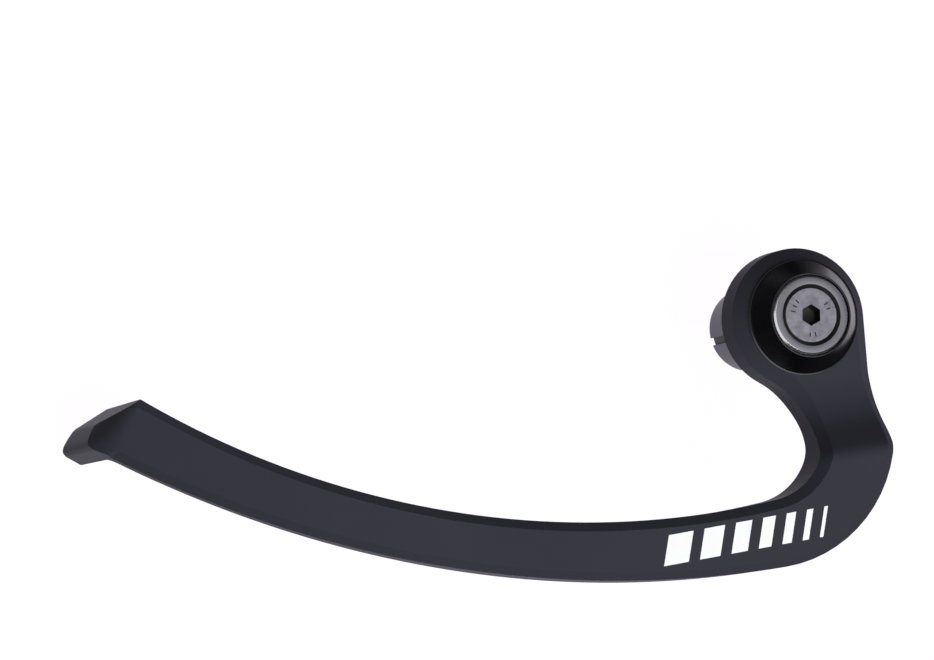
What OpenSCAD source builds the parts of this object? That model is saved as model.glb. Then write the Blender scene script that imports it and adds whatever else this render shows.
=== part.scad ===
// Brake lever guard: a milled guard arm that an expander holds in the end of a handlebar.
// The origin is on the bolt axis at the back face of the clamping head. Z points out along
// the bolt, Y is up, and the arm reaches towards -X. All sizes are in millimetres.

/* [Head] */
// Radius of the round clamping head
head_r = 14.9; // [13.5:0.1:16]
// Thickness of the head along the bolt
head_t = 10.3; // [8.5:0.1:12]
// Width of the bevel round the head's outer face
head_bevel_w = 2.8; // [1.5:0.1:3.5]
// Depth of the bevel round the head's outer face
head_bevel_d = 3.0; // [1.5:0.1:3.5]
// Diameter of the bolt hole through head, collar and ring
bore_d = 6.5; // [6.3:0.1:7.5]
// Depth of the recess in the head's back face that centres the sleeve
sleeve_recess = 1.5; // [0.8:0.1:2.5]

/* [Neck] */
// Lean of the neck's outer side, in degrees
neck_lean = 6; // [3:0.1:9]
// Length of the straight stretch of the neck's outer side
neck_len = 24; // [21:0.1:26]
// Radius of the outer corner between neck and arm
corner_r = 28.8; // [27:0.1:31]
// Radius of the round gap between head and arm
gap_r = 13.8; // [13:0.1:15]
// Distance of the gap's centre below the bolt axis
gap_drop = 23.2; // [22:0.1:25]
// Distance below the bolt axis at which the neck's face starts to climb
climb_start = 13.5; // [12:0.1:15]
// Steepest slope of the neck's face, in degrees
climb_slope = 46.4; // [42:0.1:50]
// Radius of the hollow at the foot of the climb
climb_foot_r = 16; // [12:0.5:18]
// Radius of the crease at the top of the climb
crease_r = 4; // [2:0.5:6]
// Distance below the bolt axis at which the neck's back starts to climb
back_start = 13; // [12:0.1:15]
// Steepest slope of the neck's back, in degrees
back_slope = 35; // [30:0.5:40]
// Radius of the round at the start of the back's climb
back_foot_r = 13; // [10:0.5:15]
// Radius of the round at the end of the back's climb
back_head_r = 7; // [5:0.5:9]

/* [Arm] */
// Reach of the arm's upper end corner from the bolt axis
arm_reach = 142.7; // [130:0.1:155]
// Rise of the arm's upper end corner over the bolt axis
arm_rise = 7.3; // [3:0.1:12]
// Radius of the arm's upper edge
upper_r = 174.4; // [165:0.1:190]
// Radius of the arm's lower edge
lower_r = 221; // [210:0.5:235]
// Height of the arm's face over the head's outer face, where the arm is highest
arm_step = 9.6; // [8:0.1:12]
// Radius of the arm's bow, seen from below
bow_r = 555; // [450:5:700]
// Distance from the bolt axis to the crest of the bow, away from the tip
bow_crest = 14; // [5:0.5:20]
// Extra rise of the face towards the outer corner
corner_rise = 1.3; // [0:0.1:2]
// Thickness of the arm at the corner
arm_t = 12.4; // [10:0.1:14]
// Thickness of the arm at its end
arm_end_t = 5.2; // [4.8:0.1:8]
// Width and depth of the bevel along the upper edge
arm_bevel = 2; // [1:0.1:2.3]
// Width and depth of the bevel along the lower edge
low_bevel = 1.6; // [1:0.1:2.3]
// Break of the edges on the back
back_break = 0.8; // [0.3:0.1:1.2]

/* [End lip] */
// Width across the arm's end, where the lip starts
lip_w = 13.4; // [12:0.1:15]
// Slant of the arm's end from square, in degrees
lip_slant = 34.5; // [25:0.1:40]
// Thickness of the lip
lip_t = 4.6; // [4:0.1:6]
// Length of the chamfer on the lip's upper corner, along the end
lip_chamfer = 6.9; // [5:0.1:8]
// Distance along the end to the start of the lip's lower chamfer
lip_flat_end = 10.7; // [9:0.1:11.5]
// Distance of the lip's front rim behind the head's back face, where the face has curled over
lip_rim = 14.4; // [13:0.1:18]
// Reach of the lip behind the head's back face, at its lower corner
lip_depth = 35.3; // [32:0.1:40]
// Height by which the lip's back edge falls short at its upper corner
lip_cut = 6.5; // [2:0.1:8]
// Radius of the inner corner between arm and lip
root_r = 2; // [1:0.1:3]
// Break of the lip's front edges
lip_break = 0.4; // [0.2:0.1:0.8]

/* [Collar and ring] */
// Height of the collar over the head
collar_h = 5; // [4.5:0.1:6]
// Width of the rim left round the ring
collar_rim = 0.45; // [0.3:0.05:0.8]
// Outside diameter of the ring
ring_d = 17; // [15:0.1:18]
// Thickness of the ring
ring_t = 4; // [3.8:0.1:4.2]
// Diameter of the countersink at the ring's face
sink_d = 13.1; // [12.6:0.1:13.6]
// Gap all round the ring in its recess
ring_gap = 0.15; // [0.05:0.05:0.25]

/* [Bolt] */
// Diameter of the bolt
bolt_d = 6; // [5:0.1:6.2]
// Length of the bolt with its head
bolt_l = 35; // [32:0.5:36]
// Diameter of the countersunk head
bolt_head_d = 12; // [11:0.1:12.4]
// Size of the hex socket across its flats
hex_af = 4; // [3:0.1:5]
// Depth of the hex socket
hex_depth = 3.4; // [2:0.1:4]
// Turn of the hex socket, in degrees
hex_turn = 19; // [0:1:59]
// Gap between the faces that the bolt draws together
seat_gap = 0.03; // [0.02:0.01:0.08]

/* [Expander] */
// Outside diameter of the sleeve
sleeve_d = 18; // [16:0.1:19]
// Length of the sleeve behind the head
sleeve_l = 22.5; // [20:0.1:26]
// Wall of the sleeve at its plain end
sleeve_wall = 4.2; // [3.6:0.1:4.6]
// Wall of the sleeve at its open end
sleeve_mouth_wall = 1.4; // [1:0.1:2]
// Length of the sleeve's tapered mouth
mouth_l = 12; // [10:0.1:14]
// Number of slits in the sleeve
slits = 4; // [2:1:6]
// Width of a slit
slit_w = 1.6; // [1:0.1:2.4]
// Length of solid sleeve between the slits and the head
slit_stop = 5; // [3:0.1:8]
// Turn of the slits round the sleeve, in degrees
slit_turn = 8; // [0:1:89]
// Width of the sleeve's shoulder, inside which its spigot enters the head
shoulder_w = 1; // [0.5:0.1:2]
// Gap between the sleeve and its recess in the head
sleeve_gap = 0.05; // [0.03:0.01:0.15]
// Gap between the wedge nut and the sleeve's mouth
wedge_gap = 0.05; // [0.03:0.01:0.15]
// Gap between the bolt and the nut's thread
thread_gap = 0.05; // [0.03:0.01:0.1]

/* [Hidden] */
$fn = 96;
through = 0.5;
edge_break = 0.3;
shoulder_z = 0.2;
shoulder_break = 0.4;
head_step = 5;
neck_rings = 24;
fan_rings = 12;
arm_rings = 42;
lip_rings = 14;
face_points = 3;

// Colours
satin_black = [0.16, 0.17, 0.2];
gloss_black = [0.06, 0.06, 0.07];
satin_grey = [0.55, 0.54, 0.58];
zinc_grey = [0.45, 0.44, 0.48];

// Plane helpers
function dir(a) = [cos(a), sin(a)];
function turn(p, q) = atan2(q.y - p.y, q.x - p.x);
function lerp(a, b, t) = a + (b - a) * t;
function clamp(v, a, b) = max(a, min(b, v));

// The upper point that lies at distance rp from p and rq from q
function meet(p, rp, q, rq) =
    let (
        d = norm(q - p),
        u = (q - p) / d,
        t = (rp * rp - rq * rq + d * d) / (2 * d),
        h = sqrt(rp * rp - t * t),
        a = p + u * t + [-u.y, u.x] * h,
        b = p + u * t - [-u.y, u.x] * h
    ) a.y > b.y ? a : b;

// Distance from p along e to the circle of radius r round c, on its far side
function reach(p, e, c, r) =
    let (b = e * (p - c)) -b + sqrt(b * b + r * r - (p - c) * (p - c));

// Arm's end: upper corner, direction down the end, direction out of the end, lower corner
end_top = [-arm_reach, arm_rise];
end_down = dir(-90 - lip_slant);
end_out = dir(180 - lip_slant);
end_low = end_top + end_down * lip_w;

// Outline of the neck and arm: round gap, outer corner and the two long edges, all tangent
gap_c = [-sqrt(pow(head_r + gap_r, 2) - gap_drop * gap_drop), -gap_drop];
corner_c = (head_r - corner_r) * dir(-neck_lean) + neck_len * dir(-90 - neck_lean);
upper_c = meet(end_top, upper_r, gap_c, upper_r - gap_r);
lower_c = meet(end_low, lower_r, corner_c, lower_r - corner_r);

// Outline of the end lip: upper chamfer, flat end, lower chamfer and a short side
lip_low_t = 2.8;
lip_low_in = 0.7;
lip_top = end_top + end_down * lip_chamfer + end_out * lip_t;
lip_nose = end_top + end_down * lip_flat_end + end_out * lip_t;
lip_low = end_low - end_down * lip_low_in + end_out * lip_low_t;

// Climb of the neck from 0 at its foot to 1 at the top: a hollow, a straight slope, a round
function climb(d, rise, slope, foot_r, top_r) =
    let (
        flat = (foot_r + top_r) * (1 - cos(slope)),
        l1 = foot_r * sin(slope),
        l2 = l1 + (rise - flat) / tan(slope),
        l3 = l2 + top_r * sin(slope)
    )
    d <= 0 ? 0 :
    d < l1 ? (foot_r - sqrt(foot_r * foot_r - d * d)) / rise :
    d < l2 ? (foot_r * (1 - cos(slope)) + (d - l1) * tan(slope)) / rise :
    d < l3 ? 1 - (top_r - sqrt(top_r * top_r - pow(l3 - d, 2))) / rise :
    1;
function climb_len(rise, slope, foot_r, top_r) =
    (foot_r + top_r) * sin(slope) + (rise - (foot_r + top_r) * (1 - cos(slope))) / tan(slope);

arm_top_z = head_t + arm_step;
neck_rise = arm_step + corner_rise / 2;
back_rise = head_t + neck_rise - arm_t;
neck_end = -max(climb_start + climb_len(neck_rise, climb_slope, climb_foot_r, crease_r),
                back_start + climb_len(back_rise, back_slope, back_foot_r, back_head_r));

// Face of the arm along X: the bow and the rise at the corner
function arm_z(x) =
    arm_top_z - bow_r + sqrt(bow_r * bow_r - pow(x - bow_crest, 2)) +
    corner_rise * pow(max(0, (x - gap_c.x) / (head_r - gap_c.x)), 2);
function arm_thick(x) =
    let (q = clamp((gap_c.x - x) / (arm_reach + gap_c.x), 0, 1))
    lerp(arm_t, arm_end_t, q * q * (3 - 2 * q));

// Height of the face and of the back over a point of the plan, on the neck or past it
function face_z(p, on_neck) =
    !on_neck ? arm_z(p.x) :
    lerp(head_t, arm_z(p.x), climb(-p.y - climb_start, neck_rise, climb_slope, climb_foot_r, crease_r));
function end_dist(p) = (end_top - p) * end_out;
function root_z(p) =
    let (w = clamp(end_dist(p), 0, root_r)) root_r - sqrt(root_r * root_r - pow(root_r - w, 2));
function back_z(p, on_neck) =
    !on_neck ? arm_z(p.x) - arm_thick(p.x) - root_z(p) :
    lerp(0, arm_z(p.x) - arm_thick(p.x),
         climb(-p.y - back_start, back_rise, back_slope, back_foot_r, back_head_r));
function lip_back_z(p) =
    let (v = (p - end_top) * end_down) -lip_depth + lip_cut * (1 - v / lip_w);
// The face's drop below the bow at turn a of the curl, which ends on the rim of the lip
function curl_z(p, rim, a) = arm_z(p.x) - (arm_z(rim.x) + lip_rim) * (1 - cos(a));

// Bevel width and depth: full round the head, finer along the arm
function bevel(y, fine) =
    let (t = clamp((-y - climb_start) / (gap_drop - climb_start), 0, 1))
    [lerp(head_bevel_w, fine, t), lerp(head_bevel_d, fine, t)];

// Left and right sides of head and neck at height y, moved in by i
function left_x(y, i) =
    y > -(head_r - i) * gap_drop / (head_r + gap_r) ?
    -sqrt(pow(head_r - i, 2) - y * y) :
    gap_c.x + sqrt(pow(gap_r + i, 2) - pow(y - gap_c.y, 2));
function right_x(y, i) =
    y > -(head_r - i) * sin(neck_lean) ? sqrt(pow(head_r - i, 2) - y * y) :
    y > corner_c.y - (corner_r - i) * sin(neck_lean) ?
    (head_r - i + y * sin(neck_lean)) / cos(neck_lean) :
    corner_c.x + sqrt(pow(corner_r - i, 2) - pow(y - corner_c.y, 2));

// Inner and outer point of the cross line at a station, moved in by i and by j. Stations are
// [0, angle] on the head, [1, y] on the neck, [2, t] round the corner, [3, t] on the arm, with
// t from 0 to 1, and [4, angle] on the lip, where the angle is the turn of its curl.
function arc_pair(ca, ra, a0, a1, cb, rb, b0, b1, t, i, j) =
    let (
        p = ca + ra * dir(lerp(a0, a1, t)),
        q = cb + rb * dir(lerp(b0, b1, t)),
        e = (q - p) / norm(q - p)
    ) [i == 0 ? p : p + e * reach(p, e, ca, ra + i), j == 0 ? q : p + e * reach(p, e, cb, rb - j)];
gap_turn = turn(upper_c, gap_c);
corner_turn = turn(lower_c, corner_c);
function pair(s, i, j) =
    s[0] == 0 ? [(head_r - i) * dir(180 - s[1]), (head_r - j) * dir(s[1])] :
    s[0] == 1 ? [[left_x(s[1], i), s[1]], [right_x(s[1], j), s[1]]] :
    s[0] == 2 ? arc_pair(gap_c, gap_r, asin((neck_end - gap_c.y) / gap_r), gap_turn,
                         corner_c, corner_r, asin((neck_end - corner_c.y) / corner_r), corner_turn,
                         s[1], i, j) :
    s[0] == 3 ? arc_pair(upper_c, upper_r, gap_turn, turn(upper_c, end_top),
                         lower_c, lower_r, corner_turn, turn(lower_c, end_low), s[1], i, j) :
    let (
        p = lerp(end_top, lip_top, sin(s[1])),
        q = lerp(end_low, lip_low, sin(s[1])),
        e = (q - p) / norm(q - p)
    ) [p + e * i, q - e * j];

// Points across the face between two insets; on the lip they swing out to its blunt end
function across(s, ends) =
    [for (k = [1:face_points])
        let (
            t = k / (face_points + 1),
            straight = lerp(ends[0], ends[1], t),
            nose = t < 0.5 ? lerp(ends[0], lip_nose, 2 * t) : lerp(lip_nose, ends[1], 2 * t - 1)
        ) s[0] == 4 ? lerp(straight, nose, pow(sin(s[1]), 4)) : straight];

// One ring of the guard: up the inner wall, over the face, down the outer wall, along the back
function ring(s) =
    let (
        neck = s[0] < 2,
        lip = s[0] == 4,
        edge = pair(s, 0, 0),
        inner = lip ? [lip_break, lip_break] : neck ? bevel(edge[0].y, arm_bevel) : [arm_bevel, arm_bevel],
        outer = lip ? [lip_break, lip_break] : neck ? bevel(edge[1].y, low_bevel) : [low_bevel, low_bevel],
        wb = lip ? lip_break : back_break,
        front = pair(s, inner[0], outer[0]),
        back = pair(s, wb, wb),
        face = concat([front[0]], across(s, front), [front[1]]),
        rear = across(s, back),
        rims = lip ? concat([lip_top], across([4, 90], [lip_top, lip_low]), [lip_low]) : [],
        face_row = [for (k = [0:len(face) - 1])
            place(face[k], lip ? curl_z(face[k], rims[k], s[1]) : face_z(face[k], neck))],
        back_edge = [for (p = edge) lip ? lip_back_z(p) : back_z(p, neck) + wb],
        back_row = concat([back[1]], [for (k = [face_points - 1:-1:0]) rear[k]], [back[0]])
    )
    concat(
        [place(edge[0], back_edge[0])],
        [place(edge[0], (lip ? curl_z(edge[0], rims[0], s[1]) : face_z(edge[0], neck)) - inner[1])],
        face_row,
        [place(edge[1], (lip ? curl_z(edge[1], rims[face_points + 1], s[1]) : face_z(edge[1], neck))
                        - outer[1])],
        [place(edge[1], back_edge[1])],
        [for (p = back_row) place(p, lip ? lip_back_z(p) : back_z(p, neck))]
    );
function place(p, z) = [p.x, p.y, z];

// Stations from the top of the head to the point of the lip
gap_touch = head_r * gap_drop / (head_r + gap_r);
root_steps = [1, 0.65, 0.35, 0.15, 0.05];
arm_len = norm(end_top - gap_c);
stations = concat(
    [for (a = [90 - head_step / 2:-head_step:head_step / 2]) [0, a]],
    [for (a = [head_step / 2:head_step:asin(gap_drop / (head_r + gap_r)) - head_step / 2])
        [1, -head_r * sin(a)]],
    [for (k = [0:neck_rings]) [1, lerp(-gap_touch, neck_end, k / neck_rings)]],
    [for (k = [1:fan_rings]) [2, k / fan_rings]],
    [for (k = [1:arm_rings]) [3, k / arm_rings * (1 - 1.5 * root_r / arm_len)]],
    [for (d = root_steps) [3, 1 - d * root_r / arm_len]],
    [[3, 1]],
    [for (k = [1:lip_rings]) [4, 90 * k / lip_rings]]
);

// A closed loft through rings of equal length, with flat ends
module loft(rings, mid) {
    n = len(rings[0]);
    m = len(rings);
    last = (m - 1) * n;
    sides = [for (r = [0:m - 2]) for (k = [0:n - 1])
        [r * n + k, r * n + (k + 1) % n, (r + 1) * n + (k + 1) % n, (r + 1) * n + k]];
    // The head's end: wall, bevel and back break, each flat
    first_end = [
        [0, mid + 5, mid + 4, 1],
        [for (k = [mid + 4:-1:1]) k],
        concat([0], [for (k = [n - 1:-1:mid + 5]) k])
    ];
    // The lip's end: one upright strip for each step across it
    last_end = [for (k = [0:mid + 2]) [
        last + (n - k) % n, last + k + 1, last + k + 2, last + n - 1 - k
    ]];
    polyhedron(points = [for (r = rings) each r], faces = concat(sides, first_end, last_end));
}

// The sleeve's shoulder sits in a shallow step of the head, and its spigot in the recess
spigot_r = sleeve_d / 2 - shoulder_w;

module guard_body() {
    color(satin_black)
    difference() {
        loft([for (s = stations) ring(s)], face_points);
        translate([0, 0, -through])
            cylinder(h = head_t + 2 * through, d = bore_d);
        translate([0, 0, -through])
            cylinder(h = sleeve_recess + through, r = spigot_r + sleeve_gap);
        translate([0, 0, -through])
            cylinder(h = shoulder_z + through, d = sleeve_d + 2 * sleeve_gap);
    }
}

module cone_collar() {
    base_r = head_r - head_bevel_w;
    top_r = ring_d / 2 + ring_gap + collar_rim;
    recess_r = ring_d / 2 + ring_gap;
    floor_z = collar_h - ring_t;
    color(gloss_black)
    translate([0, 0, head_t])
    rotate_extrude()
    polygon([
        [bore_d / 2, 0],
        [base_r - edge_break, 0],
        [base_r, edge_break],
        [top_r, collar_h - edge_break / 2],
        [top_r - edge_break / 2, collar_h],
        [recess_r, collar_h],
        [recess_r, floor_z],
        [bore_d / 2, floor_z]
    ]);
}

module face_ring() {
    r = ring_d / 2;
    land = ring_t - (sink_d - bore_d) / 2;
    color(satin_grey)
    translate([0, 0, head_t + collar_h - ring_t])
    rotate_extrude()
    polygon([
        [bore_d / 2, 0],
        [r - edge_break, 0],
        [r, edge_break],
        [r, ring_t - edge_break],
        [r - edge_break, ring_t],
        [sink_d / 2, ring_t],
        [bore_d / 2, land]
    ]);
}

module clamp_bolt() {
    r = bolt_d / 2;
    head = bolt_head_d / 2;
    // The head's cone follows the countersink, so its rim lies lower by their difference
    rim_z = head_t + collar_h - (sink_d - bolt_head_d) / 2 + seat_gap * sqrt(2);
    top_z = rim_z + edge_break;
    neck_z = -(head - r);
    color(satin_grey)
    translate([0, 0, top_z])
    difference() {
        rotate_extrude()
        polygon([
            [0, 0],
            [head - edge_break, 0],
            [head, -edge_break],
            [r, neck_z - edge_break],
            [r, -bolt_l + 1],
            [r - 1, -bolt_l],
            [0, -bolt_l]
        ]);
        rotate([0, 0, hex_turn])
        translate([0, 0, -hex_depth])
            cylinder(h = hex_depth + through, d = hex_af / cos(30), $fn = 6);
    }
}

// Inner radii of the sleeve's tapered mouth, at its inner end and at its open end
mouth_in_r = sleeve_d / 2 - sleeve_wall + 0.5;
mouth_out_r = sleeve_d / 2 - sleeve_mouth_wall;

module expander_sleeve() {
    r = sleeve_d / 2;
    spigot_z = sleeve_recess - seat_gap;
    color(zinc_grey)
    difference() {
        rotate_extrude()
        polygon([
            [r - sleeve_wall, spigot_z],
            [spigot_r - edge_break, spigot_z],
            [spigot_r, spigot_z - edge_break],
            [spigot_r, shoulder_z],
            [r - shoulder_break, shoulder_z],
            [r, shoulder_z - shoulder_break],
            [r, -sleeve_l + edge_break],
            [r - edge_break, -sleeve_l],
            [mouth_out_r, -sleeve_l],
            [mouth_in_r, -sleeve_l + mouth_l],
            [r - sleeve_wall, -sleeve_l + mouth_l]
        ]);
        for (k = [0:slits - 1])
            rotate([0, 0, slit_turn + k * 360 / slits])
            translate([0, -slit_w / 2, -sleeve_l - through])
                cube([r + through, slit_w, sleeve_l - slit_stop + through]);
    }
}

module wedge_nut() {
    start = 0.4;
    taper = (mouth_out_r - mouth_in_r) / mouth_l;
    color(zinc_grey)
    translate([0, 0, -sleeve_l])
    rotate_extrude()
    polygon([
        [bolt_d / 2 + thread_gap, start],
        [mouth_out_r - taper * start - wedge_gap - edge_break, start],
        [mouth_out_r - taper * (start + edge_break) - wedge_gap, start + edge_break],
        [mouth_in_r + taper * start - wedge_gap, mouth_l - start],
        [bolt_d / 2 + thread_gap, mouth_l - start]
    ]);
}

guard_body();
cone_collar();
face_ring();
clamp_bolt();
expander_sleeve();
wedge_nut();
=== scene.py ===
import math

import bmesh
import bpy
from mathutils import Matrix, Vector


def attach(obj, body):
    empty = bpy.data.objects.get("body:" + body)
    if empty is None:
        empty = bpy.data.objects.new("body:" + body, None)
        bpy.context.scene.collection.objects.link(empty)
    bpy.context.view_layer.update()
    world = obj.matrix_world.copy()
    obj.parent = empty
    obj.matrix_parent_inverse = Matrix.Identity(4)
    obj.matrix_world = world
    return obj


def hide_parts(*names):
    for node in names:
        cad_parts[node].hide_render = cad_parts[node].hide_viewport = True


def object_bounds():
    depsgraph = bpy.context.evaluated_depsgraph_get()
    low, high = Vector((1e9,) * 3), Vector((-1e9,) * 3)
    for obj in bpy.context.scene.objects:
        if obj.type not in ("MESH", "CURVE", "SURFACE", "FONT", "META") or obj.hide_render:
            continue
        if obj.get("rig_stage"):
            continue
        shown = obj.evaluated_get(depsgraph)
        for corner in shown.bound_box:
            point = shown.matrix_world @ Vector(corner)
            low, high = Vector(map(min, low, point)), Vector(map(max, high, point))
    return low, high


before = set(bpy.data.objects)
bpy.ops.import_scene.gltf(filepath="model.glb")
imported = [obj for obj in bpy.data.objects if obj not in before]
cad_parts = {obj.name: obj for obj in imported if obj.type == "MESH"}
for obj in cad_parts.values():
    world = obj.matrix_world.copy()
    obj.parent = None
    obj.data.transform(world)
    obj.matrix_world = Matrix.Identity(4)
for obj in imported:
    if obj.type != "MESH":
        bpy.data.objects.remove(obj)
cad_low, cad_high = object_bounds()
bpy.context.scene.view_settings.view_transform = "Standard"
MM = 0.001


# Camera
# A long lens that looks down on the guard's face from the side of its tip, at the
# photograph's angle. The frame is 934 x 660 pixels, and the lens is 7360 pixels long.
FRAME_WIDTH = 934
LENS_PIXELS = 7360
SENSOR_MM = 36.0
bpy.ops.object.camera_add(
    location=(-0.579694, -0.030681, 1.458211),
    rotation=(0.088341, -0.325211, -0.191129),
)
camera = bpy.context.object
camera.name = "photo_camera"
camera.data.sensor_width = SENSOR_MM
camera.data.lens = LENS_PIXELS / FRAME_WIDTH * SENSOR_MM
camera.data.clip_end = 20.0
bpy.context.scene.camera = camera


# Studio
# A sheet of white paper under the part, and a soft box overhead on the arm's outer side.
# The paper glows past white, so its violet cast clips away where the camera sees it and
# shows only where the part mirrors it. It keeps a very weak shadow of the part.
paper_size = 6.0
floor_drop = 0.4 * MM
paper_height = cad_low.z - floor_drop
paper_white = (0.4, 0.4, 0.41, 1.0)
paper_shadow_share = 0.12
paper_glow_strength = 1.25
paper_glow_colour = (0.93, 0.885, 1.0, 1.0)


def seen_or_mirrored(nodes, links):
    """1 for what the camera sees directly, mirrored or through glass, 0 for stray light."""
    path = nodes.new("ShaderNodeLightPath")
    mirrored = nodes.new("ShaderNodeMath")
    mirrored.operation = "MAXIMUM"
    links.new(path.outputs["Is Glossy Ray"], mirrored.inputs[0])
    links.new(path.outputs["Is Transmission Ray"], mirrored.inputs[1])
    seen = nodes.new("ShaderNodeMath")
    seen.operation = "MAXIMUM"
    links.new(path.outputs["Is Camera Ray"], seen.inputs[0])
    links.new(mirrored.outputs[0], seen.inputs[1])
    return seen.outputs[0]


bpy.ops.mesh.primitive_plane_add(size=paper_size, location=(0, 0, paper_height))
paper = bpy.context.object
paper.name = "paper_floor"
paper_look = bpy.data.materials.new("white_paper")
paper_look.use_nodes = True
nodes, links = paper_look.node_tree.nodes, paper_look.node_tree.links
nodes.clear()
paper_out = nodes.new("ShaderNodeOutputMaterial")
paper_matte = nodes.new("ShaderNodeBsdfDiffuse")
paper_matte.inputs["Color"].default_value = paper_white
paper_glow = nodes.new("ShaderNodeEmission")
paper_glow.inputs["Color"].default_value = paper_glow_colour
paper_glow.inputs["Strength"].default_value = paper_glow_strength
paper_share = nodes.new("ShaderNodeMath")
paper_share.operation = "MULTIPLY"
paper_share.inputs[1].default_value = 1.0 - paper_shadow_share
links.new(seen_or_mirrored(nodes, links), paper_share.inputs[0])
paper_mix = nodes.new("ShaderNodeMixShader")
links.new(paper_share.outputs[0], paper_mix.inputs[0])
links.new(paper_matte.outputs[0], paper_mix.inputs[1])
links.new(paper_glow.outputs[0], paper_mix.inputs[2])
links.new(paper_mix.outputs[0], paper_out.inputs["Surface"])
paper.data.materials.append(paper_look)
paper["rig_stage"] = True

air_seen_strength, air_light_strength = 1.0, 0.1
world = bpy.data.worlds.new("studio_air")
bpy.context.scene.world = world
world.use_nodes = True
nodes, links = world.node_tree.nodes, world.node_tree.links
nodes.clear()
air_out = nodes.new("ShaderNodeOutputWorld")
air_seen = nodes.new("ShaderNodeBackground")
air_seen.inputs["Strength"].default_value = air_seen_strength
air_light = nodes.new("ShaderNodeBackground")
air_light.inputs["Strength"].default_value = air_light_strength
air_mix = nodes.new("ShaderNodeMixShader")
links.new(seen_or_mirrored(nodes, links), air_mix.inputs[0])
links.new(air_light.outputs[0], air_mix.inputs[1])
links.new(air_seen.outputs[0], air_mix.inputs[2])
links.new(air_mix.outputs[0], air_out.inputs["Surface"])

# Name, place, size across and along, power, spread in degrees, target. The small box is
# there for the turned-back lip, and its narrow spread keeps it off the head.
soft_boxes = [
    ("soft_box_over", (0.02, -0.58, 1.2), (1.3, 1.1), 23.0, 180, (-0.06, -0.02, 0)),
    ("soft_box_tip", (-0.13, 0.13, -0.016), (0.06, 0.02), 0.0085, 90, (-0.148, 0.003, -0.018)),
]
for name, place, size, power, spread, target in soft_boxes:
    bpy.ops.object.light_add(type="AREA", location=place)
    lamp = bpy.context.object
    lamp.name = name
    lamp.data.shape = "RECTANGLE"
    lamp.data.size, lamp.data.size_y = size
    lamp.data.energy = power
    lamp.data.spread = math.radians(spread)
    aim = Vector(target) - Vector(place)
    lamp.rotation_euler = aim.to_track_quat("-Z", "Y").to_euler()
    lamp.visible_camera = False

# Black flags stand round the part, hidden from the camera, so that its sides mirror a dark
# room. They leave the top open and are lower on the side of the tip.
flag_middle = (-0.07, -0.01)
flag_radius, flag_height, flag_panels = 0.28, 0.19, 72
low_flag_from, low_flag_to, low_flag_drop = 150, 236, 0.08
cloth_black, cloth_roughness = (0.01, 0.01, 0.01, 1.0), 0.9
bpy.ops.mesh.primitive_cylinder_add(
    vertices=flag_panels, radius=flag_radius, depth=flag_height, end_fill_type="NOTHING",
    location=(*flag_middle, paper_height + flag_height / 2),
)
flags = bpy.context.object
flags.name = "black_flags"
bpy.ops.object.mode_set(mode="EDIT")
bpy.ops.mesh.select_all(action="DESELECT")
wall = bmesh.from_edit_mesh(flags.data)
for corner in wall.verts:
    turn = math.degrees(math.atan2(corner.co.y, corner.co.x)) % 360
    corner.select = corner.co.z > 0 and low_flag_from < turn < low_flag_to
bmesh.update_edit_mesh(flags.data)
bpy.ops.transform.translate(value=(0, 0, -low_flag_drop))
bpy.ops.object.mode_set(mode="OBJECT")
flag_black = bpy.data.materials.new("flag_cloth")
flag_black.use_nodes = True
cloth = flag_black.node_tree.nodes["Principled BSDF"]
cloth.inputs["Base Color"].default_value = cloth_black
cloth.inputs["Roughness"].default_value = cloth_roughness
flags.data.materials.append(flag_black)
flags.visible_camera = False
flags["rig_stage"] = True

# Two black cards lie on the paper, one on either side of the head along Y, and keep the
# cone's flanks dark. Only mirrored rays see them. Each has a place and a size.
card_lift = 0.5 * MM
card_sheets = [((-0.035, 0.12), (0.19, 0.16)), ((0.01, -0.17), (0.16, 0.16))]
cards = []
for place, size in card_sheets:
    bpy.ops.mesh.primitive_plane_add(size=1.0, location=(*place, paper_height + card_lift))
    card = bpy.context.object
    card.name = "black_card"
    card.scale = (*size, 1.0)
    bpy.ops.object.transform_apply(location=False, rotation=False, scale=True)
    card.data.materials.append(flag_black)
    card.visible_camera = False
    card.visible_diffuse = False
    card.visible_shadow = False
    card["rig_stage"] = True
    cards.append(card)


# Guard
# The one-piece guard, milled from aluminium bar, bead blasted and anodised satin black.
# Its long edges are bevelled, and its sharp edges are broken by a hair.
guard_break = 0.25 * MM
guard_black = (0.038, 0.0375, 0.051, 1.0)
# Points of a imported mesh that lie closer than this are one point
weld_within = 0.002 * MM
# Triangles that differ by less than this many degrees are one flat
flat_within = 0.3
# Faces that meet at less than this many degrees are shaded as one
smooth_within = 45


def only_selected(*objects):
    """Leaves object mode with just these objects selected, the first of them active."""
    if bpy.context.object and bpy.context.object.mode != "OBJECT":
        bpy.ops.object.mode_set(mode="OBJECT")
    bpy.ops.object.select_all(action="DESELECT")
    for o in objects:
        o.select_set(True)
    bpy.context.view_layer.objects.active = objects[0]


def copy_of_node(name, node):
    """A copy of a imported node, its triangles joined, that stands for the node."""
    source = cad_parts[node]
    only_selected(source)
    bpy.ops.object.duplicate()
    piece = bpy.context.object
    piece.name = name
    piece.data.name = name
    for key in list(piece.keys()):
        if key.startswith("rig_"):
            del piece[key]
    piece.parent = None
    only_selected(piece)
    bpy.ops.object.mode_set(mode="EDIT")
    bpy.ops.mesh.select_all(action="SELECT")
    bpy.ops.mesh.remove_doubles(threshold=weld_within)
    bpy.ops.object.mode_set(mode="OBJECT")
    bpy.ops.mesh.customdata_custom_splitnormals_clear()
    piece.data.materials.clear()
    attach(piece, "root")
    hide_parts(node)
    return piece


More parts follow.
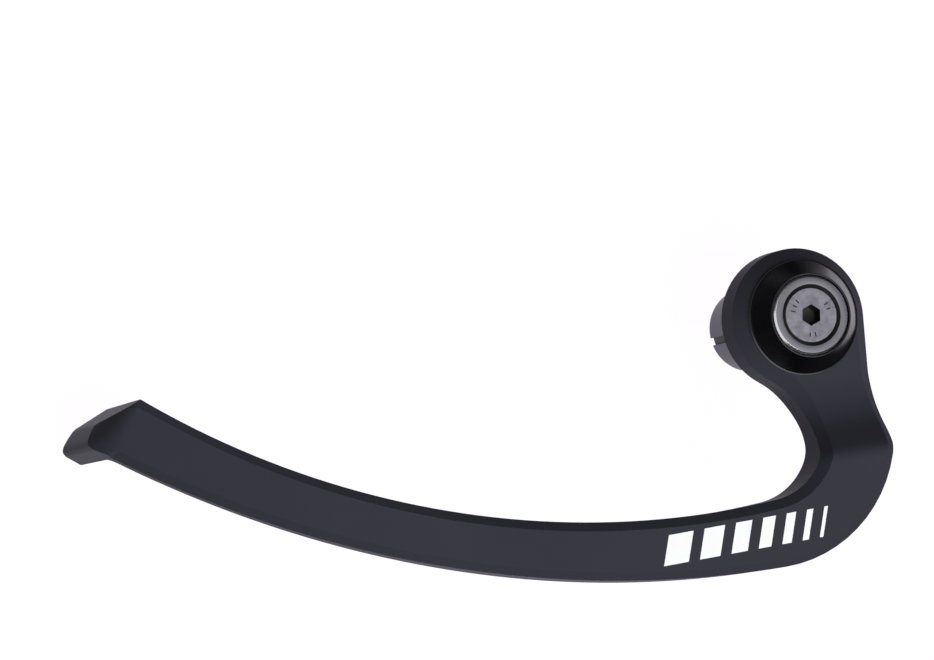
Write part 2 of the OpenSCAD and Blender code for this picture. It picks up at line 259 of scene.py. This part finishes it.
def shade_flats(piece, angle=smooth_within):
    """Smooth shading in which the wide faces lead, so that flats stay flat up to their edges."""
    only_selected(piece)
    bpy.ops.mesh.customdata_custom_splitnormals_clear()
    bpy.ops.object.shade_smooth_by_angle(angle=math.radians(angle))
    lead = piece.modifiers.new("flats_lead", "WEIGHTED_NORMAL")
    lead.keep_sharp = True
    bpy.ops.object.modifier_apply(modifier=lead.name)


def break_edges(piece, width, angle=16, segments=3):
    """Joins the flat triangles and breaks each edge that turns by more than the angle."""
    only_selected(piece)
    bpy.ops.object.mode_set(mode="EDIT")
    bpy.ops.mesh.select_all(action="SELECT")
    bpy.ops.mesh.dissolve_limited(angle_limit=math.radians(flat_within))
    bpy.ops.object.mode_set(mode="OBJECT")
    edge = piece.modifiers.new("broken_edges", "BEVEL")
    edge.width = width
    edge.segments = segments
    edge.limit_method = "ANGLE"
    edge.angle_limit = math.radians(angle)
    edge.use_clamp_overlap = True
    edge.miter_outer = "MITER_ARC"
    bpy.ops.object.modifier_apply(modifier=edge.name)
    shade_flats(piece)


# The tip in mm: the upper corner of the arm's end, the slant of the end, and the bow of the
# arm's face. Points nearer than end_slack to the end line belong to it.
end_corner = Vector((-142.7, 7.3))
end_length = 13.4
end_slack = 0.05
end_slant = math.radians(34.5)
end_down = Vector((-math.sin(end_slant), -math.cos(end_slant)))
end_out = Vector((-math.cos(end_slant), math.sin(end_slant)))
bow_radius, bow_crest, bow_top = 555.0, 14.0, 19.9
# The blunt end of the lip, from its upper chamfer to its lower side: distance down the end,
# distance out of it, how far the face has rolled down there, and the height of the back
lip_rim = [(7.9, 5.4, 5.4, -27.0), (10.1, 5.75, 3.9, -27.3), (12.1, 5.85, 2.6, -27.8),
           (13.0, 5.4, 1.8, -28.3), (13.4, 4.3, 1.2, -28.8)]
lip_back_top, lip_back_low = -28.4, -30.2
lip_rings = 14
# The roll is a curve over this share of the lip and runs straight on from there
roll_share = 0.62
# The arm's bevels run out over this share of the lip
bevel_fade = 0.4
# A ring round the lip has 14 points, and these are their places in it
wall_back, wall_top, face_top, face_low, low_wall_top, low_wall_back = 0, 1, 2, 6, 7, 8
back_low, back_top = 9, 13
back_points = (wall_back, low_wall_back, *range(back_low, back_top + 1))
# The column of lip_rim that each point of a ring runs to
rim_columns = [0, 0, 0, 1, 2, 3, 4, 4, 4, 4, 3, 2, 1, 0]
# The points of a bevel and of the back start where the wall beside them starts
starts_from = {face_top: wall_top, face_low: low_wall_top, back_top: wall_back,
               back_low: low_wall_back}
# The upright corners of the lip that are rounded: point in front, point at the back, radius
lip_corners = [(2, 13, 1.7), (4, 11, 0.6), (5, 10, 0.45), (6, 9, 0.8)]
low_corner = 0.9
corner_steps = 4
same_point = 0.02 * MM


def bow(x):
    """Height of the arm's bowed face in mm."""
    return bow_top - bow_radius + math.sqrt(bow_radius ** 2 - (x - bow_crest) ** 2)


def rolled_down(out):
    """The share of its drop that the face has rolled down, at a share of the way out."""
    if out < roll_share:
        return out * out / (roll_share * (2 - roll_share))
    return (2 * out - roll_share) / (2 - roll_share)


def open_end(tip):
    """The points round the tip's open end in order, from the upper wall's back onwards."""
    rest = {v for e in tip.edges if e.is_boundary for v in e.verts}
    upper = [v for v in rest if (v.co.xy / MM - end_corner).length < end_slack]
    ring = [min(upper, key=lambda v: v.co.z), max(upper, key=lambda v: v.co.z)]
    while len(ring) < len(rest):
        ring.append(next(e.other_vert(ring[-1]) for e in ring[-1].link_edges
                         if e.is_boundary and e.other_vert(ring[-1]) not in ring))
    return ring


def lip_point(k, out, start, bevel_step):
    """Place of a ring's point k in mm, at a share of the way out from the arm's end."""
    down, away, drop, back = lip_rim[rim_columns[k]]
    edge = starts_from.get(k, k)
    fade = max(0.0, 1 - out / bevel_fade)
    goal = end_corner + end_down * down + end_out * away
    spot = start[edge].xy.lerp(goal, out)
    if k in bevel_step:
        spot += bevel_step[k].xy * fade
    if k in back_points:
        low = (start[edge].xy - end_corner).dot(end_down) / end_length
        root = lip_back_top + (lip_back_low - lip_back_top) * low
        return Vector((spot.x, spot.y, root + (back - root) * out))
    z = bow(spot.x) - drop * rolled_down(out)
    if k in (wall_top, low_wall_top):
        z -= bevel_step[face_top if k == wall_top else face_low].z * fade
    return Vector((spot.x, spot.y, z))


def roll_the_tip(piece):
    """Draws the turned-back lip anew from the arm's end: the face rolls over to a crisp rim."""
    tip = bmesh.new()
    tip.from_mesh(piece.data)
    beyond = [v for v in tip.verts if (v.co.xy / MM - end_corner).dot(end_out) > end_slack]
    bmesh.ops.delete(tip, geom=beyond, context="VERTS")
    ring = open_end(tip)
    start = [v.co / MM for v in ring]
    bevel_step = {face_top: start[face_top] - start[wall_top],
                  face_low: start[face_low] - start[low_wall_top]}
    for j in range(1, lip_rings + 1):
        row = [tip.verts.new(lip_point(k, j / lip_rings, start, bevel_step) * MM)
               for k in range(len(ring))]
        for k in range(len(ring)):
            n = (k + 1) % len(ring)
            tip.faces.new((ring[k], ring[n], row[n], row[k]))
        if j == 1:
            low_inner = row[low_wall_top], row[low_wall_back]
        ring = row
    for front in range(face_top, face_low):
        back = back_top + face_top - front
        tip.faces.new((ring[front], ring[front + 1], ring[back - 1], ring[back]))
    tip.faces.new([ring[k] for k in (wall_back, wall_top, face_top, back_top)])
    tip.faces.new([ring[k] for k in (face_low, low_wall_top, low_wall_back, back_low)])
    upright = [(ring[a].co.copy(), ring[b].co.copy(), width) for a, b, width in lip_corners]
    upright.append((low_inner[0].co.copy(), low_inner[1].co.copy(), low_corner))
    bmesh.ops.remove_doubles(tip, verts=tip.verts, dist=same_point / 2)
    bmesh.ops.recalc_face_normals(tip, faces=tip.faces)
    for upper_end, lower_end, width in upright:
        sharp = [e for e in tip.edges if any(
            (a.co - upper_end).length < same_point and (b.co - lower_end).length < same_point
            for a, b in (e.verts, reversed(e.verts)))]
        bmesh.ops.bevel(tip, geom=sharp, offset=width * MM, offset_type="OFFSET",
                        segments=corner_steps, profile=0.5, affect="EDGES", clamp_overlap=True)
    tip.to_mesh(piece.data)
    tip.free()


def new_group(name, numbers, outputs):
    """A node group with named number inputs, which all read the piece's Object coordinates."""
    group = bpy.data.node_groups.new(name, "ShaderNodeTree")
    for label, value in numbers.items():
        socket = group.interface.new_socket(label, in_out="INPUT", socket_type="NodeSocketFloat")
        socket.default_value = value
    for label, kind in outputs.items():
        group.interface.new_socket(label, in_out="OUTPUT", socket_type=kind)
    inside = group.nodes.new("NodeGroupInput")
    outside = group.nodes.new("NodeGroupOutput")
    place = group.nodes.new("ShaderNodeTexCoord")
    return group, inside, outside, place.outputs["Object"]


# Fine grain of a blasted surface: a height for bump and a slow drift of tone
blast_grain, grain_in, grain_out, place = new_group(
    "blast_grain",
    {"Grain Size": 6000.0, "Drift Size": 60.0, "Drift": 0.1},
    {"Height": "NodeSocketFloat", "Tone": "NodeSocketFloat"},
)
nodes, links = blast_grain.nodes, blast_grain.links
grain = nodes.new("ShaderNodeTexNoise")
grain.inputs["Detail"].default_value = 3.0
links.new(place, grain.inputs["Vector"])
links.new(grain_in.outputs["Grain Size"], grain.inputs["Scale"])
links.new(grain.outputs["Fac"], grain_out.inputs["Height"])
drift = nodes.new("ShaderNodeTexNoise")
drift.inputs["Detail"].default_value = 4.0
links.new(place, drift.inputs["Vector"])
links.new(grain_in.outputs["Drift Size"], drift.inputs["Scale"])
centred = nodes.new("ShaderNodeMath")
centred.operation = "SUBTRACT"
centred.inputs[1].default_value = 0.5
links.new(drift.outputs["Fac"], centred.inputs[0])
tone = nodes.new("ShaderNodeMath")
tone.operation = "MULTIPLY_ADD"
tone.inputs[2].default_value = 1.0
links.new(centred.outputs[0], tone.inputs[0])
links.new(grain_in.outputs["Drift"], tone.inputs[1])
links.new(tone.outputs[0], grain_out.inputs["Tone"])


def new_finish(name, colour, roughness, metallic=0.0, specular=0.5):
    """A material with its shader, its base colour and roughness set on their sockets."""
    look = bpy.data.materials.new(name)
    look.use_nodes = True
    nodes, links = look.node_tree.nodes, look.node_tree.links
    shader = nodes["Principled BSDF"]
    shader.inputs["Base Color"].default_value = colour
    shader.inputs["Roughness"].default_value = roughness
    shader.inputs["Metallic"].default_value = metallic
    shader.inputs["Specular IOR Level"].default_value = specular
    return look, nodes, links, shader


def add_group(nodes, group, **values):
    """Places a node group in a material and sets the number inputs that are named."""
    node = nodes.new("ShaderNodeGroup")
    node.node_tree = group
    for label, value in values.items():
        node.inputs[label.replace("_", " ")].default_value = value
    return node


def tint_by(nodes, links, tone, colour, socket):
    """Multiplies a colour by a tone round 1 and feeds it to a colour socket."""
    scaled = nodes.new("ShaderNodeVectorMath")
    scaled.operation = "SCALE"
    scaled.inputs[0].default_value = colour[:3]
    links.new(tone, scaled.inputs["Scale"])
    links.new(scaled.outputs[0], socket)


def bump_by(nodes, links, height, shader, depth, strength):
    """Feeds a height to the shader's normal, as a bump of that depth."""
    bump = nodes.new("ShaderNodeBump")
    bump.inputs["Distance"].default_value = depth
    bump.inputs["Strength"].default_value = strength
    links.new(height, bump.inputs["Height"])
    links.new(bump.outputs[0], shader.inputs["Normal"])


def vary(nodes, links, value, socket, low, high):
    """Maps a value from 0..1 to low..high and feeds it to a number socket."""
    mapped = nodes.new("ShaderNodeMapRange")
    mapped.inputs["To Min"].default_value = low
    mapped.inputs["To Max"].default_value = high
    links.new(value, mapped.inputs["Value"])
    links.new(mapped.outputs["Result"], socket)


satin_black, nodes, links, shader = new_finish(
    "satin_black_anodised", guard_black, roughness=0.42, specular=0.018)
grain = add_group(nodes, blast_grain, Grain_Size=5200.0, Drift_Size=45.0, Drift=0.16)
tint_by(nodes, links, grain.outputs["Tone"], guard_black, shader.inputs["Base Color"])
bump_by(nodes, links, grain.outputs["Height"], shader, depth=0.006 * MM, strength=0.6)
vary(nodes, links, grain.outputs["Height"], shader.inputs["Roughness"], low=0.38, high=0.46)

guard = copy_of_node("milled_guard", "guard_body")
roll_the_tip(guard)
break_edges(guard, guard_break)
guard.data.materials.append(satin_black)


# Cone collar
# A turned aluminium cone, anodised gloss black, that stands on the head's face round
# the ring. It comes off a lathe, so its faces carry fine turning marks.
collar_black = (0.002, 0.002, 0.0025, 1.0)
collar_tint = (0.9, 0.9, 1.0, 1.0)

# Turning marks: rings round the bolt axis, uneven like a lathe's feed
turning_marks, marks_in, marks_out, place = new_group(
    "turning_marks",
    {"Marks": 4000.0},
    {"Height": "NodeSocketFloat", "Tone": "NodeSocketFloat"},
)
nodes, links = turning_marks.nodes, turning_marks.links
split = nodes.new("ShaderNodeSeparateXYZ")
links.new(place, split.inputs[0])
flat = nodes.new("ShaderNodeCombineXYZ")
links.new(split.outputs["X"], flat.inputs["X"])
links.new(split.outputs["Y"], flat.inputs["Y"])
radius = nodes.new("ShaderNodeVectorMath")
radius.operation = "LENGTH"
links.new(flat.outputs[0], radius.inputs[0])
across = nodes.new("ShaderNodeMath")
across.operation = "MULTIPLY"
links.new(radius.outputs["Value"], across.inputs[0])
links.new(marks_in.outputs["Marks"], across.inputs[1])
along = nodes.new("ShaderNodeMath")
along.operation = "MULTIPLY"
links.new(split.outputs["Z"], along.inputs[0])
links.new(marks_in.outputs["Marks"], along.inputs[1])
feed_place = nodes.new("ShaderNodeCombineXYZ")
links.new(across.outputs[0], feed_place.inputs["X"])
links.new(along.outputs[0], feed_place.inputs["Y"])
feed = nodes.new("ShaderNodeTexNoise")
feed.inputs["Scale"].default_value = 1.0
feed.inputs["Detail"].default_value = 2.0
links.new(feed_place.outputs[0], feed.inputs["Vector"])
links.new(feed.outputs["Fac"], marks_out.inputs["Height"])
mark_tone = nodes.new("ShaderNodeMapRange")
mark_tone.inputs["From Min"].default_value = 0.3
mark_tone.inputs["From Max"].default_value = 0.7
links.new(feed.outputs["Fac"], mark_tone.inputs["Value"])
links.new(mark_tone.outputs["Result"], marks_out.inputs["Tone"])

gloss_black, nodes, links, shader = new_finish(
    "gloss_black_anodised", collar_black, roughness=0.2, specular=0.25)
shader.inputs["Specular Tint"].default_value = collar_tint
marks = add_group(nodes, turning_marks, Marks=9000.0)
bump_by(nodes, links, marks.outputs["Height"], shader, depth=0.001 * MM, strength=0.5)
vary(nodes, links, marks.outputs["Tone"], shader.inputs["Roughness"], low=0.17, high=0.25)


# A turned edge is rounded in this many steps where it turns by more than so many degrees
turned_edge_steps, turned_edge_angle = 3, 20


def turned_piece(name, profile, edge=0.05, steps=160, closed=True):
    """Spins a profile of (radius, height) points in mm round the bolt axis, edges rounded."""
    points = [Vector((r * MM, 0, z * MM)) for r, z in profile]
    bpy.ops.mesh.primitive_plane_add(size=MM, location=points[0])
    piece = bpy.context.object
    piece.name = name
    bpy.ops.object.transform_apply(location=True, rotation=False, scale=False)
    bpy.ops.object.mode_set(mode="EDIT")
    bpy.ops.mesh.select_all(action="SELECT")
    bpy.ops.mesh.merge(type="CENTER")
    for here, there in zip(points, points[1:] + (points[:1] if closed else [])):
        bpy.ops.mesh.extrude_region_move(TRANSFORM_OT_translate={"value": there - here})
    bpy.ops.mesh.select_all(action="SELECT")
    bpy.ops.mesh.spin(steps=steps, angle=2 * math.pi, center=(0, 0, 0), axis=(0, 0, 1))
    bpy.ops.mesh.select_all(action="SELECT")
    bpy.ops.mesh.remove_doubles(threshold=weld_within / 2)
    bpy.ops.mesh.normals_make_consistent(inside=False)
    bpy.ops.object.mode_set(mode="OBJECT")
    rounding = piece.modifiers.new("rounded_edges", "BEVEL")
    rounding.width = edge * MM
    rounding.segments = turned_edge_steps
    rounding.limit_method = "ANGLE"
    rounding.angle_limit = math.radians(turned_edge_angle)
    bpy.ops.object.modifier_apply(modifier=rounding.name)
    shade_flats(piece)
    return piece


# Sizes in mm: heights of the head's face and of the collar, the bolt's hole, the recess that
# the ring lies in, the rim round it, and the foot that curves up from the head's face
head_face, collar_top = 10.3, 15.0
bolt_hole_r = 3.25
recess_r, recess_floor = 8.65, head_face + 1
rim_r, rim_edge_r, rim_edge_drop = 8.92, 9.08, 0.15
foot_radius, foot_edge, foot_fillet = 12.36, 0.12, 0.6
foot_turn, foot_steps = math.radians(58), 6
foot = []
for k in range(foot_steps + 1):
    turn = foot_turn * k / foot_steps
    foot.append((foot_radius - foot_fillet * math.sin(turn),
                 head_face + foot_edge + foot_fillet * (1 - math.cos(turn))))
collar = turned_piece("cone_collar_turned", [
    (bolt_hole_r, head_face), (foot_radius, head_face), *foot,
    (rim_edge_r, collar_top - rim_edge_drop), (rim_r, collar_top), (recess_r, collar_top),
    (recess_r, recess_floor), (bolt_hole_r, recess_floor),
])
collar.data.materials.append(gloss_black)
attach(collar, "root")
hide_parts("cone_collar")


# Face ring
# A separate aluminium ring that seats the bolt's head, faced on a lathe and left satin
# grey, with fine rings in its face and a hair of shadow round it in the collar.
ring_grey = (0.098, 0.097, 0.11, 1.0)
satin_grey, nodes, links, shader = new_finish(
    "satin_grey_turned", ring_grey, roughness=0.32, metallic=1.0)
marks = add_group(nodes, turning_marks, Marks=7000.0)
bump_by(nodes, links, marks.outputs["Height"], shader, depth=0.002 * MM, strength=0.5)
vary(nodes, links, marks.outputs["Tone"], shader.inputs["Roughness"], low=0.34, high=0.46)
# Sizes in mm: the ring's outside, its face, its chamfer and the countersink in it
ring_r, ring_top, ring_chamfer = 8.5, 15.3, 0.5
sink_r, sink_low = 6.55, 12.0
ring = turned_piece("seat_ring_turned", [
    (bolt_hole_r, recess_floor), (ring_r, recess_floor), (ring_r, ring_top - ring_chamfer),
    (ring_r - ring_chamfer, ring_top), (sink_r, ring_top), (bolt_hole_r, sink_low),
])
ring.data.materials.append(satin_grey)
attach(ring, "root")
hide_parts("face_ring")

# The countersink under the bolt's head is painted black: painted shade in the gap round the head
shade_paint_colour = (0.006, 0.006, 0.007, 1.0)
painted_shade_black, nodes, links, shader = new_finish(
    "painted_shade_black", shade_paint_colour, roughness=0.45, specular=0.2)
grain = add_group(nodes, blast_grain, Grain_Size=4000.0, Drift_Size=300.0, Drift=0.4)
tint_by(nodes, links, grain.outputs["Tone"], shade_paint_colour, shader.inputs["Base Color"])
bump_by(nodes, links, grain.outputs["Height"], shader, depth=0.006 * MM, strength=0.5)
ring.data.materials.append(painted_shade_black)

# The ring's outer edge is chamfered after its finish, down to bright metal
bright_metal = (0.85, 0.85, 0.87, 1.0)
bright_edge, nodes, links, shader = new_finish(
    "bright_edge", bright_metal, roughness=0.2, metallic=1.0)
marks = add_group(nodes, turning_marks, Marks=7000.0)
bump_by(nodes, links, marks.outputs["Height"], shader, depth=0.002 * MM, strength=0.5)
ring.data.materials.append(bright_edge)
sink_edge = 0.05
least_slope, most_slope = 0.3, 0.95
# The countersink's faces take the painted shade black, and the outer chamfer's faces take bright
# metal
for face in ring.data.polygons:
    middle, normal = face.center, face.normal
    outwards = normal.xy.dot(middle.xy) / middle.xy.length
    if middle.xy.length < (sink_r + sink_edge) * MM and outwards < -least_slope:
        face.material_index = 1
    elif middle.xy.length > (ring_r - ring_chamfer) * MM and least_slope < normal.z < most_slope:
        face.material_index = 2


# Bolt
# An M6 countersunk socket bolt in dark plated steel. Its head sits in the ring, and its
# thread runs through the sleeve into the nut.
bolt_grey = (0.118, 0.115, 0.134, 1.0)
bolt_steel, nodes, links, shader = new_finish(
    "dark_plated_steel", bolt_grey, roughness=0.34, metallic=1.0)
grain = add_group(nodes, blast_grain, Grain_Size=2600.0, Drift_Size=700.0, Drift=1.3)
tint_by(nodes, links, grain.outputs["Tone"], bolt_grey, shader.inputs["Base Color"])
bump_by(nodes, links, grain.outputs["Height"], shader, depth=0.01 * MM, strength=0.5)
# Sizes in mm: the countersunk head, the M6 thread's crest and root, and the bolt's end
bolt_top, head_r, head_chamfer = 15.092, 6.0, 0.3
crest_r, root_r = 3.0, 2.5
thread_top, thread_end, thread_pitch = -1.5, -18.9, 1.0
# Where a turn of the thread reaches its root, leaves it and is back at its crest, in pitches
root_from, root_to, crest_from = 0.42, 0.58, 0.96
end_r, end_chamfer = 2.1, 1.0
shank = [(crest_r, thread_top)]
while shank[-1][1] > thread_end:
    z = shank[-1][1]
    shank += [
        (root_r, z - thread_pitch * root_from), (root_r, z - thread_pitch * root_to),
        (crest_r, z - thread_pitch * crest_from), (crest_r, z - thread_pitch),
    ]
bolt = turned_piece("socket_bolt", [
    (0.0, bolt_top), (head_r - head_chamfer, bolt_top), (head_r, bolt_top - head_chamfer),
    (crest_r, bolt_top - head_chamfer - (head_r - crest_r)),
    *shank, (end_r, thread_end - end_chamfer), (0.0, thread_end - end_chamfer),
], steps=120, closed=False)

# The socket is broached with a hexagon over a drilled point, and short marks are struck
# beside it
socket_across_flats, socket_depth, socket_turn = 4.0, 3.4, 19
drill_r, drill_point, drill_rise = 1.9, 0.9, 0.01
mark_radius, mark_length, mark_width, mark_depth = 4.15, 1.0, 0.28, 0.14
mark_turns = [10, 26, 128, 144, 160, 256, 272]
bpy.ops.mesh.primitive_cylinder_add(
    vertices=6, radius=socket_across_flats / 2 / math.cos(math.pi / 6) * MM,
    depth=2 * socket_depth * MM, location=(0, 0, bolt_top * MM),
    rotation=(0, 0, math.radians(socket_turn + 30)),
)
cutters = [bpy.context.object]
bpy.ops.mesh.primitive_cone_add(
    vertices=48, radius1=0.0, radius2=drill_r * MM, depth=drill_point * MM,
    location=(0, 0, (bolt_top - socket_depth - drill_point / 2 + drill_rise) * MM),
)
cutters.append(bpy.context.object)
for turn in mark_turns:
    a = math.radians(turn)
    bpy.ops.mesh.primitive_cube_add(
        size=1.0, rotation=(0, 0, a),
        location=Vector((mark_radius * math.cos(a), mark_radius * math.sin(a), bolt_top)) * MM,
    )
    mark = bpy.context.object
    mark.scale = (mark_length * MM, mark_width * MM, 2 * mark_depth * MM)
    cutters.append(mark)
for cutter in cutters:
    only_selected(bolt)
    cut = bolt.modifiers.new("cut", "BOOLEAN")
    cut.object = cutter
    cut.operation = "DIFFERENCE"
    cut.solver = "EXACT"
    bpy.ops.object.modifier_apply(modifier=cut.name)
for cutter in cutters:
    bpy.data.objects.remove(cutter)
shade_flats(bolt, angle=35)
bolt.data.materials.append(bolt_steel)
bolt.data.materials.append(painted_shade_black)
# The floors of the socket and the marks, and all below the head's chamfer, are painted black:
# painted shade in these hollows and in the gap under the head
struck_within, struck_below = 5.3, bolt_top - 0.02
head_below = bolt_top - head_chamfer - 0.01
for face in bolt.data.polygons:
    middle = face.center / MM
    struck = middle.xy.length < struck_within and middle.z < struck_below
    face.material_index = 1 if struck or middle.z < head_below else 0
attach(bolt, "root")
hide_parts("clamp_bolt")


# Expander sleeve
# A slit aluminium sleeve behind the head. The bolt draws the nut into its mouth, which
# spreads it in the handlebar's end.
sleeve_grey = (0.056, 0.055, 0.067, 1.0)
fine_break, fine_edge_angle = 0.08 * MM, 28
sleeve_metal, nodes, links, shader = new_finish(
    "sleeve_aluminium", sleeve_grey, roughness=0.4, metallic=1.0)
marks = add_group(nodes, turning_marks, Marks=4000.0)
bump_by(nodes, links, marks.outputs["Height"], shader, depth=0.006 * MM, strength=0.8)
sleeve = copy_of_node("split_sleeve", "expander_sleeve")
break_edges(sleeve, fine_break, fine_edge_angle)
sleeve.data.materials.append(sleeve_metal)

# A black core close under the sleeve's skin is painted shade: it stands for the shade inside
# that shows in the slits. Sizes in mm.
core_inside, core_outside = 7.7, 8.35
core_low, core_high = -22.2, -3.0
shade_core = turned_piece("painted_slit_shade", [
    (core_inside, core_low), (core_outside, core_low), (core_outside, core_high),
    (core_inside, core_high),
])
shade_core.data.materials.append(painted_shade_black)
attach(shade_core, "root")


# Wedge nut
# A tapered nut of zinc-plated steel in the sleeve's mouth. The bolt draws it in by its
# thread, and its taper spreads the sleeve.
nut_grey = (0.12, 0.12, 0.13, 1.0)
nut_metal, nodes, links, shader = new_finish(
    "zinc_plated_steel", nut_grey, roughness=0.35, metallic=1.0)
grain = add_group(nodes, blast_grain, Grain_Size=2000.0, Drift_Size=300.0, Drift=0.3)
tint_by(nodes, links, grain.outputs["Tone"], nut_grey, shader.inputs["Base Color"])
bump_by(nodes, links, grain.outputs["Height"], shader, depth=0.01 * MM, strength=0.5)
nut = copy_of_node("tapered_nut", "wedge_nut")
break_edges(nut, fine_break, fine_edge_angle)
nut.data.materials.append(nut_metal)


# Print
# A row of slanted white bars, screen printed on the corner of the arm, that thin out
# towards the corner. Each is a skin of ink that lies on the bowed face.
ink_white = (0.9, 0.9, 0.91, 1.0)
bar_widths = [5.4, 4.5, 3.6, 2.8, 2.1, 1.4, 0.8]
bar_gap = 2.45
bar_height = 6.2
bar_lean = 0.36
row_left = -42.4
row_middle = -43.3
bar_start_height = 30.0
bar_cuts = 7
ink_thick = 0.03 * MM
ink_lift = 0.012 * MM

print_white, nodes, links, shader = new_finish(
    "white_ink", ink_white, roughness=0.5, specular=0.4)
grain = add_group(nodes, blast_grain, Grain_Size=3000.0, Drift_Size=150.0, Drift=0.05)
tint_by(nodes, links, grain.outputs["Tone"], ink_white, shader.inputs["Base Color"])
bump_by(nodes, links, grain.outputs["Height"], shader, depth=0.004 * MM, strength=0.5)

left = row_left
bars = []
for width in bar_widths:
    bpy.ops.mesh.primitive_plane_add(
        size=1.0, location=Vector((left + width / 2, row_middle, bar_start_height)) * MM,
    )
    bar = bpy.context.object
    bar.scale = (width * MM, bar_height * MM, 1.0)
    bpy.ops.object.transform_apply(location=True, rotation=False, scale=True)
    bpy.ops.object.mode_set(mode="EDIT")
    for side in (-1, 1):
        bpy.ops.mesh.select_all(action="DESELECT")
        ends = bmesh.from_edit_mesh(bar.data)
        for v in ends.verts:
            v.select = (v.co.y - row_middle * MM) * side > 0
        bmesh.update_edit_mesh(bar.data)
        bpy.ops.transform.translate(value=(side * bar_lean * bar_height / 2 * MM, 0, 0))
    bpy.ops.mesh.select_all(action="SELECT")
    bpy.ops.mesh.subdivide(number_cuts=bar_cuts)
    bpy.ops.object.mode_set(mode="OBJECT")
    bars.append(bar)
    left += width + bar_gap
only_selected(*bars)
bpy.ops.object.join()
row = bpy.context.object
row.name = "printed_bars"
wrap = row.modifiers.new("on_the_face", "SHRINKWRAP")
wrap.target = guard
wrap.wrap_method = "PROJECT"
wrap.use_project_z = True
wrap.use_negative_direction = True
wrap.use_positive_direction = False
wrap.offset = ink_lift
bpy.ops.object.modifier_apply(modifier=wrap.name)
skin = row.modifiers.new("ink_thickness", "SOLIDIFY")
skin.thickness = ink_thick
skin.offset = 1.0
bpy.ops.object.modifier_apply(modifier=skin.name)
row.data.materials.append(print_white)
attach(row, "root")


# The paper, flags and cards move up, so that the paper lies just under the finished part
seen_low, seen_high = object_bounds()
for piece in (paper, flags, *cards):
    piece.location.z += seen_low.z - cad_low.z
